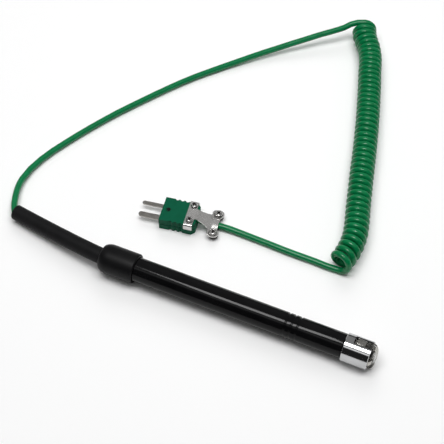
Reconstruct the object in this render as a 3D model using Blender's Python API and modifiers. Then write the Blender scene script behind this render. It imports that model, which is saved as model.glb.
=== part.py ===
"""Surface temperature probe: ribbon measuring head, tube handle, bend boot, curly lead and two-blade plug.

Metres, +Z up. The probe lies along X with its head at +X, on the plane Z = 0. The origin is under the
middle of the probe, without its lead. Probe pieces are drawn along their own axis: local Z runs to the
tip, with 0 at the ferrule's front rim, local -X is up and local +Y is the lead's side.
"""
import math

import bmesh
import bpy
from mathutils import Matrix, Vector

MM = 0.001
GAP = 0.3 * MM
SEAT = 0.1 * MM
MERGE = 0.00001
ROUND_STEPS = 48
SMALL_STEPS = 24

# Where the probe lies
RIM_X = 103.2 * MM
AXIS_Y = -2.8 * MM
HEAD_ROLL = math.radians(-15.5)

# Ferrule and its two windows
FERRULE_RADIUS = 7.5 * MM
FERRULE_WALL = 1.1 * MM
FERRULE_LENGTH = 14.0 * MM
FERRULE_EDGE = 0.3 * MM
WINDOW_WIDTH = 5.6 * MM
WINDOW_LENGTH = 9.6 * MM

# Insulating core inside the ferrule
CORE_FRONT = 1.2 * MM
CORE_LENGTH = 8.2 * MM
CORE_NOSE_RADIUS = 3.8 * MM
CORE_NOSE_HEIGHT = 2.2 * MM
CORE_UPPER_FLAT = 4.9 * MM
CORE_SIDE_FLAT = 4.2 * MM
CORE_SIDE_SLOT = 5.6 * MM

# Measuring ribbon, its cross ribbon and the tabs that hold it
RIBBON_THICKNESS = 0.25 * MM
RIBBON_WIDTH = 4.2 * MM
RIBBON_DOME = 3.0 * MM
RIBBON_SHOULDER = 6.9 * MM
RIBBON_LEG = 8.6 * MM
CROSS_WIDTH = 3.4 * MM
CROSS_DOME = 2.3 * MM
CROSS_SHOULDER = 5.6 * MM
CROSS_LEG = 6.2 * MM
TAB_LENGTH = 4.6 * MM
TAB_WIDTH = 3.6 * MM
TAB_THICKNESS = 0.7 * MM

# Bush between ferrule and handle
BUSH_NECK = 2.8 * MM
BUSH_SPIGOT = 10.0 * MM
BUSH_BORE_RADIUS = 2.6 * MM

# Handle tube
HANDLE_RADIUS = 6.6 * MM
HANDLE_WALL = 1.3 * MM
HANDLE_LENGTH = 131.3 * MM
HANDLE_EDGE = 0.4 * MM
GROOVE_COUNT = 3
GROOVE_FIRST = 25.0 * MM
GROOVE_PITCH = 3.2 * MM
GROOVE_WIDTH = 1.3 * MM
GROOVE_DEPTH = 0.45 * MM

# Rear collar, a cap over the tube's end
COLLAR_RADIUS = 8.1 * MM
COLLAR_OVERLAP = 15.6 * MM
COLLAR_REAR_WALL = 2.3 * MM
COLLAR_LIP = 0.9 * MM
COLLAR_SHOULDER_LENGTH = 5.2 * MM
COLLAR_SHOULDER_HEIGHT = 2.4 * MM

# Bend boot, bowed to the side and down to the table
BOOT_RADIUS = 4.45 * MM
BOOT_END_RADIUS = 4.25 * MM
BOOT_BORE_RADIUS = 2.3 * MM
BOOT_FLANGE = 1.9 * MM
BOOT_STRAIGHT = 5.4 * MM
BOOT_LENGTH = 57.5 * MM
BOOT_SIDE = 9.5 * MM
BOOT_DROP = 3.8 * MM
BOOT_BOW = 1.2
BOOT_STATIONS = 12
BOOT_CLEAR = 1.5 * MM

# Cable and what it carries inside the handle
CABLE_RADIUS = 1.8 * MM
JACKET_INSIDE = 23.6 * MM
JACKET_JOINT_SHARE = 0.8
ANCHOR_LENGTH = 8.0 * MM
ANCHOR_SETBACK = 2.0 * MM
LEAD_RADIUS = 0.7 * MM
LEAD_SPACING = 2.1 * MM
CRIMP_RADIUS = 1.5 * MM
CRIMP_BORE_RADIUS = 1.0 * MM
CRIMP_LENGTH = 8.0 * MM
CRIMP_SETBACK = 29.7 * MM
CRIMP_SPACING = 3.9 * MM
CRIMP_GRIP = 3.0 * MM
HEAD_LEAD_RADIUS = 0.4 * MM
HEAD_LEAD_SPACING = 2.4 * MM

# Plug: local X runs from the blades to the cable, local Z is up, 0 at the front face on the table.
# Its place is measured from under the boot's mouth.
PLUG_AWAY_X = 73.4 * MM
PLUG_AWAY_Y = 32.45 * MM
PLUG_YAW = math.radians(9.0)
PLUG_LENGTH = 20.1 * MM
PLUG_WIDTH = 16.0 * MM
PLUG_HEIGHT = 8.0 * MM
PLUG_EDGE = 0.5 * MM
PLUG_REAR_CHAMFER = 1.9 * MM
PLUG_WALL = 1.6 * MM
PLUG_FRONT_WALL = 2.6 * MM
POCKET_LENGTH = 11.0 * MM
POCKET_HEIGHT = 4.8 * MM
GRIP_COUNT = 3
GRIP_FIRST = 6.4 * MM
GRIP_PITCH = 2.9 * MM
GRIP_RADIUS = 1.5 * MM
GRIP_DEPTH = 0.7 * MM
KEY_HOLE_RADIUS = 1.1 * MM
KEY_HOLE_X = 3.7 * MM
KEY_HOLE_DEPTH = 1.2 * MM

BLADE_SPACING = 7.9 * MM
BLADE_THICKNESS = 0.8 * MM
BLADE_REACH = 12.6 * MM
BLADE_INNER = 9.0 * MM
BLADE_POSITIVE_WIDTH = 2.4 * MM
BLADE_NEGATIVE_WIDTH = 3.2 * MM
TERMINAL_X = 7.0 * MM
TERMINAL_HEAD_RADIUS = 1.5 * MM
TERMINAL_HEAD_HEIGHT = 1.0 * MM
TERMINAL_SHANK_RADIUS = 0.6 * MM
TERMINAL_SHANK_LENGTH = 2.0 * MM
PLUG_LEAD_RADIUS = 0.45 * MM
PLUG_JACKET_END = 14.3 * MM

# Cable clamp on the plug
SHEET = 0.6 * MM
BAND_X = 14.0 * MM
BAND_LENGTH = 4.8 * MM
BAND_TAB = 3.2 * MM
NECK_WIDTH = 6.3 * MM
NECK_BAR_WIDTH = 8.8 * MM
BAR_X = 30.2 * MM
BAR_WAIST = 3.2 * MM
EAR_ALONG = 3.0 * MM
EAR_ACROSS = 2.5 * MM
BAR_SCREW_SPACING = 12.8 * MM
BAR_EAR_HEIGHT = 2.8 * MM
BAR_HUMP_HALF = 2.1 * MM
BAR_RAMP = 1.7 * MM
SADDLE_THICKNESS = 0.6 * MM
SADDLE_EAR_HEIGHT = 1.4 * MM
SADDLE_INSET = 0.2 * MM
CABLE_HEIGHT_AT_CLAMP = 2.5 * MM

CLAMP_HEAD = (2.2 * MM, 1.2 * MM)
COVER_HEAD = (1.8 * MM, 0.8 * MM)
SCREW_SHANK_RADIUS = 0.9 * MM
SCREW_HOLE_RADIUS = 1.2 * MM
CROSS_SLOT_WIDTH = 0.5 * MM
CROSS_SLOT_SHARE = 0.58
CROSS_SLOT_DEPTH_SHARE = 0.5
COVER_SCREW_X = 16.6 * MM
COVER_SCREW_SPACING = 10.2 * MM
COVER_SCREW_DEPTH = 6.0 * MM

# Curly lead
COIL_RADIUS = 7.0 * MM
CORD_STEP = 10.5 * MM

# Routes on the table, hand chosen, millimetres (x, y, z) from the point under the boot's mouth. The coil lies
# on the table, so its route is (x, y).
UPPER_ROUTE = (
    (-3.8, 1.8, 4.4), (-6.0, 5.6, 4.1), (-7.4, 10.3, 3.8), (-8.7, 15.3, 3.4), (-9.4, 21.0, 3.0),
    (-9.2, 27.9, 2.6), (-7.8, 35.9, 2.2), (-5.6, 43.3, 2.0), (-2.7, 50.7, 1.9), (0.9, 58.3, 1.9),
    (4.7, 66.2, 1.9), (9.9, 76.1, 1.9), (15.3, 85.9, 1.9), (21.0, 95.3, 1.9), (27.0, 104.7, 1.9),
    (33.1, 114.1, 1.9), (39.2, 123.1, 1.9), (45.7, 132.0, 1.9), (52.6, 140.3, 2.0), (59.7, 148.3, 2.3),
    (66.9, 156.0, 2.8), (74.2, 163.6, 3.5), (81.8, 170.7, 4.4), (89.5, 177.6, 5.6), (97.3, 184.1, 7.0),
    (105.1, 190.8, 8.5), (111.0, 195.7, 9.9), (116.3, 199.9, 11.1), (120.5, 202.9, 11.9),
)
COIL_ROUTE = (
    (126.9, 205.7), (130.7, 200.5), (135.5, 193.1), (139.4, 183.8), (143.5, 172.2), (147.5, 160.7),
    (151.1, 149.4), (154.5, 138.2), (157.6, 127.1), (160.6, 116.2), (163.3, 105.5), (166.0, 95.0),
    (168.8, 84.7), (171.5, 74.5), (173.8, 66.7), (175.9, 58.6), (176.5, 52.1), (176.3, 45.7),
    (174.7, 39.9), (173.95, 37.1),
)
LOWER_ROUTE = (
    (167.7, 36.6, 1.9), (162.9, 36.8, 1.9), (158.3, 36.9, 1.9), (152.5, 36.9, 1.9), (146.7, 37.0, 1.9),
    (140.7, 37.2, 1.9), (134.8, 37.5, 1.9), (128.9, 37.7, 1.9), (123.0, 37.9, 1.9), (117.3, 38.0, 1.95),
    (111.9, 38.0, 2.2), (107.0, 37.7, 2.45),
)


def clear_scene():
    for thing in list(bpy.data.objects):
        bpy.data.objects.remove(thing, do_unlink=True)


def new_collection(name):
    group = bpy.data.collections.new(name)
    bpy.context.scene.collection.children.link(group)
    return group


clear_scene()
PARTS = new_collection("surface_temperature_probe")
CUTTERS = new_collection("cutters")


def make_material(name, colour, roughness, metallic):
    material = bpy.data.materials.new(name)
    material.use_nodes = True
    shader = material.node_tree.nodes["Principled BSDF"]
    shader.inputs["Base Color"].default_value = (*colour, 1.0)
    shader.inputs["Roughness"].default_value = roughness
    shader.inputs["Metallic"].default_value = metallic
    return material


CHROME = make_material("chrome", (0.86, 0.87, 0.88), 0.08, 1.0)
STEEL = make_material("steel", (0.62, 0.61, 0.60), 0.3, 1.0)
RIBBON_METAL = make_material("ribbon_metal", (0.70, 0.69, 0.66), 0.22, 1.0)
BRASS = make_material("brass", (0.72, 0.55, 0.25), 0.3, 1.0)
HANDLE_PLASTIC = make_material("handle_plastic", (0.012, 0.012, 0.013), 0.18, 0.0)
COLLAR_PLASTIC = make_material("collar_plastic", (0.016, 0.016, 0.017), 0.42, 0.0)
BOOT_RUBBER = make_material("boot_rubber", (0.018, 0.018, 0.019), 0.65, 0.0)
CORE_PLASTIC = make_material("core_plastic", (0.03, 0.03, 0.032), 0.5, 0.0)
CABLE_GREEN = make_material("cable_green", (0.014, 0.20, 0.075), 0.3, 0.0)
LEAD_WHITE = make_material("lead_white", (0.75, 0.74, 0.70), 0.5, 0.0)
PLUG_GREEN = make_material("plug_green", (0.01, 0.13, 0.065), 0.38, 0.0)


def put(thing, material, parent, group=PARTS):
    group.objects.link(thing)
    thing.parent = parent
    if material is not None:
        thing.data.materials.append(material)
    return thing


def shade(mesh):
    mesh.shade_smooth()
    mesh.set_sharp_from_angle(angle=math.radians(35.0))


def arc(centre_r, centre_z, radius_r, radius_z, start, end, count):
    points = []
    for step in range(count + 1):
        angle = math.radians(start + (end - start) * step / count)
        points.append((centre_r + radius_r * math.cos(angle), centre_z + radius_z * math.sin(angle)))
    return points


def turned(name, profile, material, parent, closed=True, steps=ROUND_STEPS, group=PARTS):
    """Turn an (r, z) profile about local Z. Its outer side runs from high z to low z."""
    mesh = bpy.data.meshes.new(name)
    edges = [(i, i + 1) for i in range(len(profile) - 1)]
    if closed:
        edges.append((len(profile) - 1, 0))
    mesh.from_pydata([(r, 0.0, z) for r, z in profile], edges, [])
    thing = put(bpy.data.objects.new(name, mesh), material, parent, group)
    screw = thing.modifiers.new("turn", "SCREW")
    screw.axis = "Z"
    screw.steps = steps
    screw.render_steps = steps
    screw.use_merge_vertices = True
    screw.merge_threshold = MERGE
    screw.use_smooth_shade = True
    return thing


def mesh_copy(source, name, material, parent, group=PARTS):
    """Make a plain closed mesh of an evaluated curve or turned piece, and remove the source."""
    bpy.context.view_layer.update()
    evaluated = source.evaluated_get(bpy.context.evaluated_depsgraph_get())
    mesh = bpy.data.meshes.new_from_object(evaluated)
    mesh.name = name
    work = bmesh.new()
    work.from_mesh(mesh)
    bmesh.ops.remove_doubles(work, verts=work.verts, dist=MERGE)
    work.to_mesh(mesh)
    work.free()
    mesh.materials.clear()
    matrix = source.matrix_local.copy()
    bpy.data.objects.remove(source, do_unlink=True)
    shade(mesh)
    thing = put(bpy.data.objects.new(name, mesh), material, parent, group)
    thing.matrix_local = matrix
    return thing


def outline_prism(name, outline, depth, material, parent, group=PARTS):
    """Closed flat outline in local XY, as thick as depth, middle at z = 0, made a plain mesh."""
    curve = bpy.data.curves.new(name + "_outline", "CURVE")
    curve.dimensions = "2D"
    curve.fill_mode = "BOTH"
    curve.extrude = depth / 2.0
    spline = curve.splines.new("POLY")
    spline.points.add(len(outline) - 1)
    for point, (x, y) in zip(spline.points, outline):
        point.co = (x, y, 0.0, 1.0)
    spline.use_cyclic_u = True
    source = bpy.data.objects.new(name + "_outline", curve)
    CUTTERS.objects.link(source)
    return mesh_copy(source, name, material, parent, group)


def round_tube(name, points, radius, material, parent, radii=None, group=PARTS, sides=2):
    """Round bar along points: a POLY curve with filled caps."""
    curve = bpy.data.curves.new(name, "CURVE")
    curve.dimensions = "3D"
    curve.bevel_depth = radius
    curve.bevel_resolution = sides
    curve.use_fill_caps = True
    spline = curve.splines.new("POLY")
    spline.points.add(len(points) - 1)
    for index, place in enumerate(points):
        spline.points[index].co = (*place, 1.0)
        if radii is not None:
            spline.points[index].radius = radii[index]
    spline.use_smooth = True
    return put(bpy.data.objects.new(name, curve), material, parent, group)


def box(name, low, high, material, parent, group=PARTS):
    mesh = bpy.data.meshes.new(name)
    work = bmesh.new()
    size = [b - a for a, b in zip(low, high)]
    middle = [(a + b) / 2.0 for a, b in zip(low, high)]
    bmesh.ops.create_cube(work, size=1.0, matrix=Matrix.Translation(middle) @ Matrix.Diagonal((*size, 1.0)))
    work.to_mesh(mesh)
    work.free()
    return put(bpy.data.objects.new(name, mesh), material, parent, group)


def pin(name, centre, low, high, radius, parent):
    """Upright round cutter from z low to z high."""
    mesh = bpy.data.meshes.new(name)
    work = bmesh.new()
    place = Matrix.Translation((centre[0], centre[1], (low + high) / 2.0))
    bmesh.ops.create_cone(work, cap_ends=True, segments=SMALL_STEPS, radius1=radius, radius2=radius,
                          depth=high - low, matrix=place)
    work.to_mesh(mesh)
    work.free()
    return put(bpy.data.objects.new(name, mesh), None, parent, CUTTERS)


def boolean(target, tool, operation):
    tool.hide_render = True
    tool.display_type = "WIRE"
    step = target.modifiers.new(operation.lower(), "BOOLEAN")
    step.operation = operation
    step.solver = "EXACT"
    step.object = tool


def cut(target, tool):
    boolean(target, tool, "DIFFERENCE")


def soften(thing, width, segments=2):
    edge = thing.modifiers.new("edge", "BEVEL")
    edge.width = width
    edge.segments = segments
    edge.limit_method = "ANGLE"
    edge.angle_limit = math.radians(40.0)


def smooth_route(points, step):
    """Points about one step apart on a smooth curve through the given points."""
    knots = [Vector(p) for p in points]
    knots = [2.0 * knots[0] - knots[1]] + knots + [2.0 * knots[-1] - knots[-2]]
    fine = []
    for i in range(1, len(knots) - 2):
        a, b, c, d = knots[i - 1:i + 3]
        count = 12
        for k in range(count):
            t = k / count
            fine.append(0.5 * (2.0 * b + (c - a) * t + (2.0 * a - 5.0 * b + 4.0 * c - d) * t * t
                               + (3.0 * b - 3.0 * c + d - a) * t ** 3))
    fine.append(knots[-2])
    lengths = [0.0]
    for first, second in zip(fine, fine[1:]):
        lengths.append(lengths[-1] + (second - first).length)
    pieces = max(1, round(lengths[-1] / step))
    route = []
    index = 0
    for k in range(pieces + 1):
        wanted = lengths[-1] * k / pieces
        while index < len(fine) - 2 and lengths[index + 1] < wanted:
            index += 1
        span = lengths[index + 1] - lengths[index]
        route.append(fine[index].lerp(fine[index + 1], (wanted - lengths[index]) / span))
    return route


def handle_front():
    return FERRULE_LENGTH + GAP


def handle_rear():
    return handle_front() + HANDLE_LENGTH


def collar_front():
    return handle_rear() - COLLAR_OVERLAP


def boot_start():
    return handle_rear() + BOOT_STRAIGHT


def jacket_end():
    return handle_rear() - JACKET_INSIDE


def crimp_rear():
    return handle_front() + CRIMP_SETBACK


def lead_origin():
    """Point on the table under the boot's mouth, which the lead and the plug are placed from."""
    return Vector((RIM_X - boot_start() - BOOT_LENGTH, AXIS_Y + BOOT_SIDE, 0.0))


def on_table(route, height=0.0):
    """Route rows in millimetres as points in metres, raised by height where the rows are flat."""
    origin = lead_origin()
    points = []
    for row in route:
        flat = (*row, 0.0)[:3]
        points.append(origin + Vector(flat) * MM + Vector((0.0, 0.0, height)))
    return points


def make_probe_axis():
    """The probe rests on the ferrule's front rim and the collar's front edge."""
    tilt = math.atan2(COLLAR_RADIUS - FERRULE_RADIUS, collar_front())
    axis = bpy.data.objects.new("probe_axis", None)
    CUTTERS.objects.link(axis)
    axis.location = (RIM_X, AXIS_Y, FERRULE_RADIUS * math.cos(tilt))
    axis.rotation_euler = (0.0, math.radians(90.0) + tilt, 0.0)
    return axis


def make_head_axis(probe_axis):
    head = bpy.data.objects.new("head_axis", None)
    CUTTERS.objects.link(head)
    head.parent = probe_axis
    head.rotation_euler = (0.0, 0.0, HEAD_ROLL)
    return head


def make_ferrule(head):
    outer = FERRULE_RADIUS
    inner = FERRULE_RADIUS - FERRULE_WALL
    rear = -FERRULE_LENGTH
    edge = FERRULE_EDGE
    profile = [(inner, 0.0), (outer - edge, 0.0), (outer, -edge), (outer, rear + edge), (outer - edge, rear),
               (inner, rear)]
    ferrule = turned("tip_ferrule", profile, CHROME, head)
    half = WINDOW_WIDTH / 2.0
    reach = FERRULE_RADIUS + GAP
    window = box("windows", (-reach, -half, -WINDOW_LENGTH), (reach, half, GAP), None, head, CUTTERS)
    cut(ferrule, window)
    return ferrule


def core_radius():
    return FERRULE_RADIUS - FERRULE_WALL - GAP


def make_core(head):
    radius = core_radius()
    front = -CORE_FRONT
    rear = front - CORE_LENGTH
    nose = arc(0.0, front, CORE_NOSE_RADIUS, CORE_NOSE_HEIGHT, 90.0, 0.0, 6)
    nose[0] = (0.0, front + CORE_NOSE_HEIGHT)
    profile = nose + [(radius - GAP, front), (radius, front - GAP), (radius, rear), (0.0, rear)]
    core = turned("head_core", profile, CORE_PLASTIC, head, closed=False)
    far = radius + GAP
    slot_half = RIBBON_WIDTH / 2.0 + GAP
    side_half = CROSS_WIDTH / 2.0 + GAP
    for sign in (-1.0, 1.0):
        low, high = sorted((sign * CORE_UPPER_FLAT, sign * far))
        flat = box("core_flat", (low, -slot_half, rear - GAP), (high, slot_half, front + GAP), None, head,
                   CUTTERS)
        cut(core, flat)
        low, high = sorted((sign * CORE_SIDE_FLAT, sign * far))
        slot = box("core_slot", (-side_half, low, front - CORE_SIDE_SLOT), (side_half, high, front + GAP),
                   None, head, CUTTERS)
        cut(core, slot)
    return core


def ribbon_line(leg_radius, leg_end, shoulder, dome):
    """Half of a ribbon's middle line, (radius, z), from the leg's end over the shoulder to the crown."""
    line = [(leg_radius, -leg_end), (leg_radius, -leg_end * 0.55)]
    line.append(((leg_radius + shoulder) / 2.0, -leg_end * 0.28))
    line += arc(0.0, 0.0, shoulder, dome, 0.0, 90.0, 8)
    return line


def make_ribbon(name, line, width, head, across):
    """Thin bowed strip: the middle line given a thickness, then its width. It lies in the XZ plane, or
    in the YZ plane where it runs across."""
    full = line + [(-r, z) for r, z in reversed(line[:-1])]
    half = RIBBON_THICKNESS / 2.0
    outer = []
    inner = []
    for index, (r, z) in enumerate(full):
        before = Vector(full[max(index - 1, 0)])
        after = Vector(full[min(index + 1, len(full) - 1)])
        along = (after - before).normalized()
        side = Vector((along.y, -along.x)) * half
        outer.append((r + side.x, z + side.y))
        inner.append((r - side.x, z - side.y))
    strip = outline_prism(name, outer + inner[::-1], width, RIBBON_METAL, head)
    turn = math.radians(90.0) if across else 0.0
    strip.rotation_euler = (math.radians(90.0), 0.0, turn)
    return strip


def tab_seat():
    return CORE_UPPER_FLAT + GAP + RIBBON_THICKNESS + GAP


def make_tab(name, side, head):
    low = tab_seat()
    high = low + TAB_THICKNESS
    start = -RIBBON_LEG
    half = TAB_WIDTH / 2.0
    near, far = sorted((side * low, side * high))
    tab = box(name, (near, -half, start), (far, half, start + TAB_LENGTH), STEEL, head)
    soften(tab, TAB_THICKNESS / 4.0)
    return tab


def make_bush(probe_axis):
    neck = core_radius()
    top = -FERRULE_LENGTH + BUSH_NECK
    step = -FERRULE_LENGTH
    spigot = HANDLE_RADIUS - HANDLE_WALL - GAP
    bottom = step - GAP - BUSH_SPIGOT
    bore = BUSH_BORE_RADIUS
    profile = [(bore + GAP, top), (neck, top), (neck, step), (spigot, step), (spigot, bottom + GAP),
               (spigot - GAP, bottom), (bore, bottom), (bore, top - GAP)]
    return turned("head_bush", profile, BRASS, probe_axis)


def make_handle(probe_axis):
    front = -handle_front()
    rear = -handle_rear()
    outer = HANDLE_RADIUS
    inner = HANDLE_RADIUS - HANDLE_WALL
    edge = HANDLE_EDGE
    profile = [(inner, front), (outer - edge, front), (outer, front - edge)]
    for index in range(GROOVE_COUNT):
        middle = front - GROOVE_FIRST - index * GROOVE_PITCH
        half = GROOVE_WIDTH / 2.0
        profile += arc(outer, middle, GROOVE_DEPTH, half, 90.0, 270.0, 6)
    profile += [(outer, rear + edge), (outer - edge, rear), (inner, rear)]
    return turned("handle_tube", profile, HANDLE_PLASTIC, probe_axis)


def collar_inner_wall():
    return handle_rear() + GAP + BOOT_FLANGE + GAP


def make_collar(probe_axis):
    bore = HANDLE_RADIUS + GAP
    front = -collar_front()
    wall = -collar_inner_wall()
    rear = wall - COLLAR_REAR_WALL
    hole = BOOT_RADIUS + GAP
    outer = COLLAR_RADIUS
    lip = COLLAR_LIP
    profile = [(bore, front)]
    profile += arc(outer - lip, front - lip, lip, lip, 90.0, 0.0, 5)
    profile += arc(outer - COLLAR_SHOULDER_HEIGHT, rear + COLLAR_SHOULDER_LENGTH, COLLAR_SHOULDER_HEIGHT,
                   COLLAR_SHOULDER_LENGTH, 0.0, -90.0, 8)
    profile += [(hole, rear), (hole, wall), (bore, wall)]
    return turned("rear_collar", profile, COLLAR_PLASTIC, probe_axis)


def boot_point(share):
    """Boot's middle line beyond the collar, share 0 at its bend and 1 at its mouth."""
    bow = share ** BOOT_BOW
    return Vector((BOOT_DROP * bow, BOOT_SIDE * bow, -boot_start() - BOOT_LENGTH * share))


def make_boot(probe_axis):
    flange_front = -handle_rear() - GAP
    shares = [k / BOOT_STATIONS for k in range(BOOT_STATIONS + 1)]
    straight = Vector((0.0, 0.0, flange_front))
    points = [straight] + [boot_point(share) for share in shares]
    taper = BOOT_END_RADIUS / BOOT_RADIUS
    radii = [1.0] + [1.0 + (taper - 1.0) * share for share in shares]
    body = round_tube("boot_body", points, BOOT_RADIUS, None, probe_axis, radii, CUTTERS, sides=6)
    boot = mesh_copy(body, "bend_boot", BOOT_RUBBER, probe_axis)
    flange_radius = HANDLE_RADIUS
    flange_rear = flange_front - BOOT_FLANGE
    ring = [(0.0, flange_front), (flange_radius, flange_front), (flange_radius, flange_rear),
            (0.0, flange_rear)]
    flange = turned("boot_flange", ring, None, probe_axis, closed=False, group=CUTTERS)
    boolean(boot, flange, "UNION")
    ahead = Vector((0.0, 0.0, flange_front + GAP))
    beyond = boot_point(1.0) + (boot_point(1.0) - boot_point(0.9)).normalized() * GAP
    line = [ahead] + points[1:] + [beyond]
    hollow = round_tube("boot_hollow", line, BOOT_BORE_RADIUS, None, probe_axis, None, CUTTERS, sides=3)
    bore = mesh_copy(hollow, "boot_bore", None, probe_axis, CUTTERS)
    cut(boot, bore)
    return boot


def make_anchor(probe_axis):
    rear = -handle_rear() + ANCHOR_SETBACK
    front = rear + ANCHOR_LENGTH
    outer = HANDLE_RADIUS - HANDLE_WALL - GAP
    inner = CABLE_RADIUS + GAP
    profile = [(inner, front), (outer - GAP, front), (outer, front - GAP), (outer, rear + GAP),
               (outer - GAP, rear), (inner, rear)]
    return turned("cable_anchor", profile, COLLAR_PLASTIC, probe_axis, steps=SMALL_STEPS)


def make_inner_cable(probe_axis):
    joint = boot_point(JACKET_JOINT_SHARE)
    back = (joint - boot_point(JACKET_JOINT_SHARE - 0.05)).normalized() * GAP
    points = [Vector((0.0, 0.0, -jacket_end())), Vector((0.0, 0.0, -boot_start()))]
    shares = [0.1, 0.2, 0.3, 0.4, 0.5, 0.6, 0.7]
    points += [boot_point(share) for share in shares] + [joint - back]
    return round_tube("inner_cable", points, CABLE_RADIUS, CABLE_GREEN, probe_axis)


def make_lead(name, side, probe_axis):
    """Insulated lead from the cable jacket to its crimp."""
    start = side * LEAD_SPACING / 2.0
    end = side * CRIMP_SPACING / 2.0
    rear = -jacket_end() + GAP
    front = -crimp_rear() + CRIMP_GRIP
    length = front - rear
    points = [(0.0, start, rear), (0.0, start, rear + length * 0.6), (0.0, end, rear + length * 0.85),
              (0.0, end, front)]
    return round_tube(name, points, LEAD_RADIUS, LEAD_WHITE, probe_axis)


def make_crimp(name, side, probe_axis):
    rear = -crimp_rear()
    front = rear + CRIMP_LENGTH
    profile = [(CRIMP_BORE_RADIUS, front), (CRIMP_RADIUS, front), (CRIMP_RADIUS, rear),
               (CRIMP_BORE_RADIUS, rear)]
    crimp = turned(name, profile, BRASS, probe_axis, steps=SMALL_STEPS)
    crimp.location = (0.0, side * CRIMP_SPACING / 2.0, 0.0)
    return crimp


def make_head_lead(name, side, probe_axis):
    """Fine lead from the crimp through the bush to the leg of the ribbon. The leg lies on the rolled
    head's X axis."""
    crimp_y = side * CRIMP_SPACING / 2.0
    leg = CORE_UPPER_FLAT + GAP + RIBBON_THICKNESS / 2.0
    roll = Matrix.Rotation(HEAD_ROLL, 3, "Z")
    leg_end = roll @ Vector((-side * leg, 0.0, -RIBBON_LEG - HEAD_LEAD_RADIUS - GAP))
    inside = roll @ Vector((-side * HEAD_LEAD_SPACING / 2.0, 0.0, 0.0))
    gap_middle = -(CORE_FRONT + CORE_LENGTH + FERRULE_LENGTH - BUSH_NECK) / 2.0
    bush_rear = -FERRULE_LENGTH - GAP - BUSH_SPIGOT
    crimp_front = CRIMP_LENGTH - crimp_rear()
    points = [(0.0, crimp_y, crimp_front - CRIMP_GRIP),
              (0.0, crimp_y, crimp_front + CRIMP_GRIP),
              (inside.x, inside.y, bush_rear - CRIMP_GRIP),
              (inside.x, inside.y, gap_middle - HEAD_LEAD_RADIUS),
              (leg_end.x * 0.8, leg_end.y * 0.8, gap_middle),
              (leg_end.x, leg_end.y, leg_end.z)]
    return round_tube(name, points, HEAD_LEAD_RADIUS, STEEL, probe_axis)


def make_plug_place():
    place = bpy.data.objects.new("plug_place", None)
    CUTTERS.objects.link(place)
    place.location = lead_origin() + Vector((PLUG_AWAY_X, PLUG_AWAY_Y, 0.0))
    place.rotation_euler = (0.0, 0.0, PLUG_YAW)
    return place


def plug_outline():
    """Half outline points of the body, seen from above, going round the whole body."""
    half = PLUG_WIDTH / 2.0
    chamfer = PLUG_REAR_CHAMFER
    side = [(0.0, half)]
    for index in range(GRIP_COUNT):
        middle = GRIP_FIRST + index * GRIP_PITCH
        reach = GRIP_PITCH * 0.36
        for step in range(5):
            share = step / 4.0
            x = middle - reach + 2.0 * reach * share
            side.append((x, half - GRIP_DEPTH * math.sin(math.pi * share)))
    side += [(PLUG_LENGTH - chamfer, half), (PLUG_LENGTH, half - chamfer)]
    return side + [(x, -y) for x, y in reversed(side)]


def make_plug_half(name, low, high, place):
    shell = outline_prism(name, plug_outline(), high - low, PLUG_GREEN, place)
    shell.location = (0.0, 0.0, (low + high) / 2.0)
    soften(shell, PLUG_EDGE)
    middle = PLUG_HEIGHT / 2.0
    half = PLUG_WIDTH / 2.0 - PLUG_WALL
    pocket = box(name + "_pocket", (PLUG_FRONT_WALL, -half, middle - POCKET_HEIGHT / 2.0),
                 (PLUG_FRONT_WALL + POCKET_LENGTH, half, middle + POCKET_HEIGHT / 2.0), None, place, CUTTERS)
    cut(shell, pocket)
    for side, width in ((1.0, BLADE_POSITIVE_WIDTH), (-1.0, BLADE_NEGATIVE_WIDTH)):
        centre = side * BLADE_SPACING / 2.0
        reach = width / 2.0 + GAP
        height = BLADE_THICKNESS / 2.0 + GAP
        slot = box(name + "_slot", (-GAP, centre - reach, middle - height),
                   (PLUG_FRONT_WALL + GAP, centre + reach, middle + height), None, place, CUTTERS)
        cut(shell, slot)
    entry = [(PLUG_FRONT_WALL + POCKET_LENGTH - GAP, 0.0, middle), (PLUG_LENGTH + GAP, 0.0, middle)]
    channel = round_tube(name + "_channel", entry, CABLE_RADIUS + GAP, None, place, None, CUTTERS, sides=4)
    cut(shell, mesh_copy(channel, name + "_channel_tool", None, place, CUTTERS))
    return shell


def make_plug_base(place):
    base = make_plug_half("plug_base", 0.0, (PLUG_HEIGHT - GAP) / 2.0, place)
    for side in (-1.0, 1.0):
        centre = (COVER_SCREW_X, side * COVER_SCREW_SPACING / 2.0)
        floor = PLUG_HEIGHT - COVER_SCREW_DEPTH - GAP
        cut(base, pin("base_screw_hole", centre, floor, PLUG_HEIGHT, SCREW_HOLE_RADIUS, place))
    return base


def make_plug_cover(place):
    cover = make_plug_half("plug_cover", (PLUG_HEIGHT + GAP) / 2.0, PLUG_HEIGHT, place)
    for side in (-1.0, 1.0):
        centre = (COVER_SCREW_X, side * COVER_SCREW_SPACING / 2.0)
        cut(cover, pin("cover_screw_hole", centre, 0.0, PLUG_HEIGHT + GAP, SCREW_HOLE_RADIUS, place))
    top = PLUG_HEIGHT + GAP
    cut(cover, pin("key_hole", (KEY_HOLE_X, 0.0), PLUG_HEIGHT - KEY_HOLE_DEPTH, top, KEY_HOLE_RADIUS, place))
    return cover


def make_blade(name, side, width, place):
    half = width / 2.0
    tip = arc(-BLADE_REACH + half, 0.0, half, half, 90.0, 270.0, 8)
    outline = [(BLADE_INNER, half)] + tip + [(BLADE_INNER, -half)]
    blade = outline_prism(name, outline, BLADE_THICKNESS, STEEL, place)
    centre = side * BLADE_SPACING / 2.0
    blade.location = (0.0, centre, PLUG_HEIGHT / 2.0)
    hole = pin(name + "_hole", (TERMINAL_X, centre), 0.0, PLUG_HEIGHT, TERMINAL_SHANK_RADIUS + GAP, place)
    cut(blade, hole)
    return blade


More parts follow.
